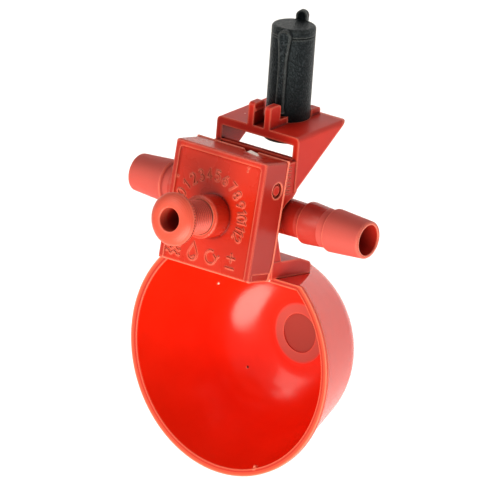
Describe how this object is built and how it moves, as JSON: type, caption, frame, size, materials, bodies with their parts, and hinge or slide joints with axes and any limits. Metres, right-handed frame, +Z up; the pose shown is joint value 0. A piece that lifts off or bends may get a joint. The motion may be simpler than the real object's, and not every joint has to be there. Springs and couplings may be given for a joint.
{
  "type": "poultry drinking cup",
  "caption": "Red rocking drinking cup for poultry: bowl and black counterweight on a pivoted bracket, on a valve body with a barbed hose tee and an adjusting screw.",
  "frame": {"origin": "on the hose tee's axis, midway between its two ends", "axes": "+X along the tee, +Y from the bowl towards the counterweight, +Z up, out of the valve body's face"},
  "size_m": [0.0704, 0.1151, 0.0638],
  "materials": {
    "red_housing": "semi-gloss moulded",
    "red_screw": "semi-gloss moulded",
    "red_rocker": "semi-gloss moulded",
    "red_bowl": "glossy moulded",
    "black_weight": "fine-grained matt",
    "white_stem": "plain moulded",
    "seal_rubber": "plain",
    "spring_steel": "drawn wire",
    "steel_seat": "stamped"
  },
  "bodies": {
    "housing": {"valve_body": "red_housing"},
    "carriage": {"spring_seat": "steel_seat", "valve_spring": "spring_steel"},
    "screw": {"adjusting_screw": "red_screw"},
    "stem": {"valve_stem": "white_stem", "valve_seal": "seal_rubber"},
    "rocker": {"rocker_bracket": "red_rocker", "drinking_bowl": "red_bowl", "counterweight": "black_weight"}
  },
  "joints": [
    {"name": "rocker_pivot", "type": "hinge", "parent": "housing", "child": "rocker", "pos_m": [0, 0.0076, 0.0106], "axis": [1, 0, 0], "range_deg": [0, 6]},
    {"name": "seat_slide", "type": "slide", "parent": "housing", "child": "carriage", "axis": [0, 0, 1], "range_m": [-0.0045, 0.00075], "deforming": ["valve_spring"]},
    {"name": "screw_turn", "type": "hinge", "parent": "carriage", "child": "screw", "pos_m": [0, -0.0015, 0.025], "axis": [0, 0, 1], "range_deg": [-1083, 183]},
    {"name": "valve_slide", "type": "slide", "parent": "housing", "child": "stem", "axis": [0, 0, 1], "range_m": [-0.00096, 0]}
  ],
  "couplings": [
    {"joint": "screw_turn", "follows": "seat_slide", "rad_per_m": 4188.8},
    {"joint": "valve_slide", "follows": "rocker_pivot", "m_per_rad": -0.0091}
  ]
}
